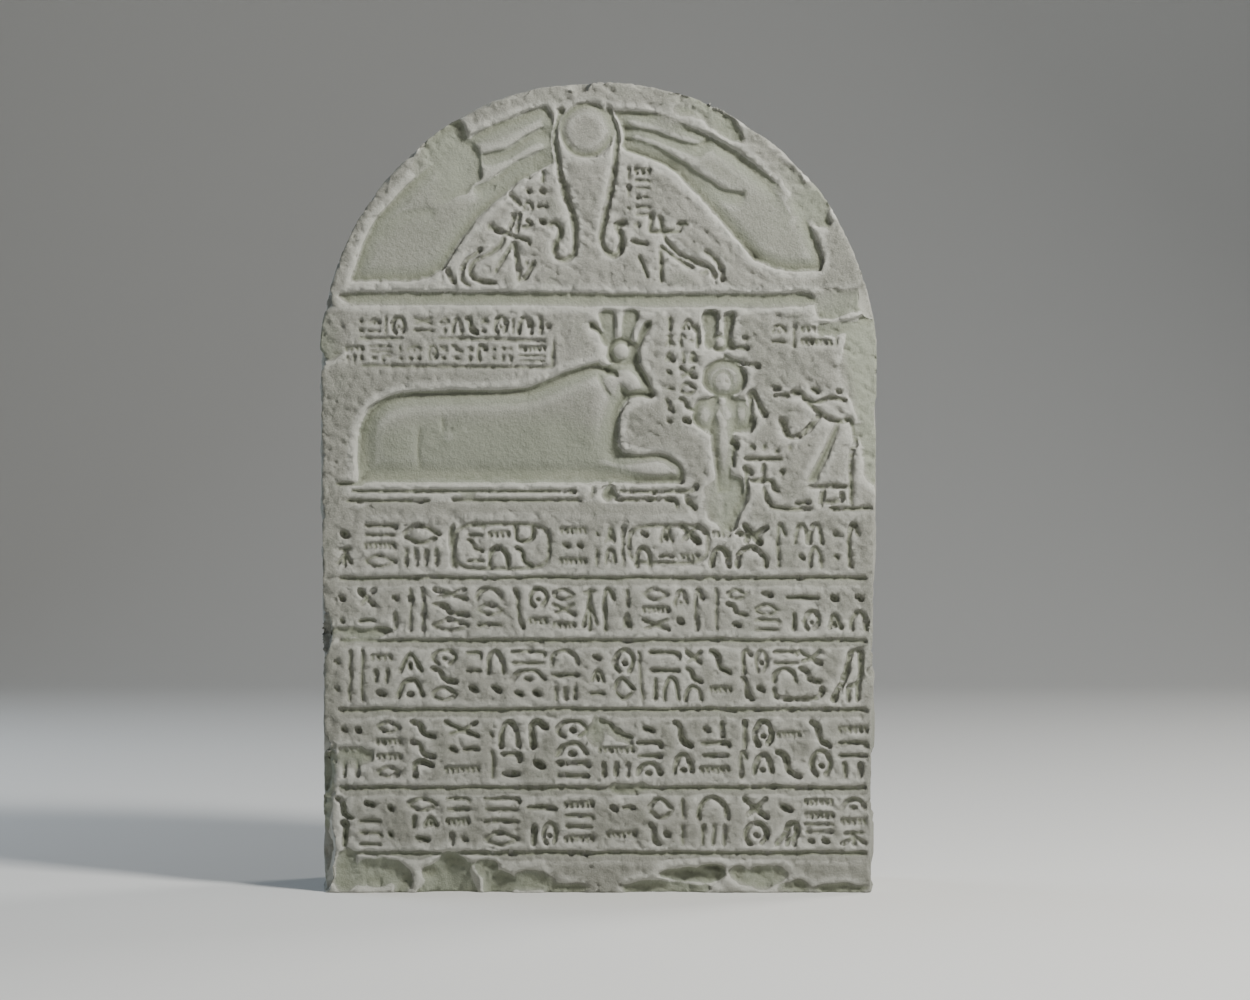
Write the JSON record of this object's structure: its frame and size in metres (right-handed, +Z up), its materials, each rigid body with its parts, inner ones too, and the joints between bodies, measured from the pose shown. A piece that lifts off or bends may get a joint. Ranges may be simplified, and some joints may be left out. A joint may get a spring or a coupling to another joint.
{
  "type": "carved stone stele",
  "caption": "Round-topped upright stone slab, its front carved in sunk relief with a winged disk, a resting bull, standing figures and ruled rows of chisel strokes; worn and chipped.",
  "frame": {"origin": "under the middle of the base, on the ground", "axes": "+Z up along the slab's height, carved front facing -Y, X across the front"},
  "size_m": [0.4568, 0.115, 0.6549],
  "materials": {
    "stone": "matte"
  },
  "bodies": {
    "root": {"stele": "stone"}
  },
  "joints": []
}
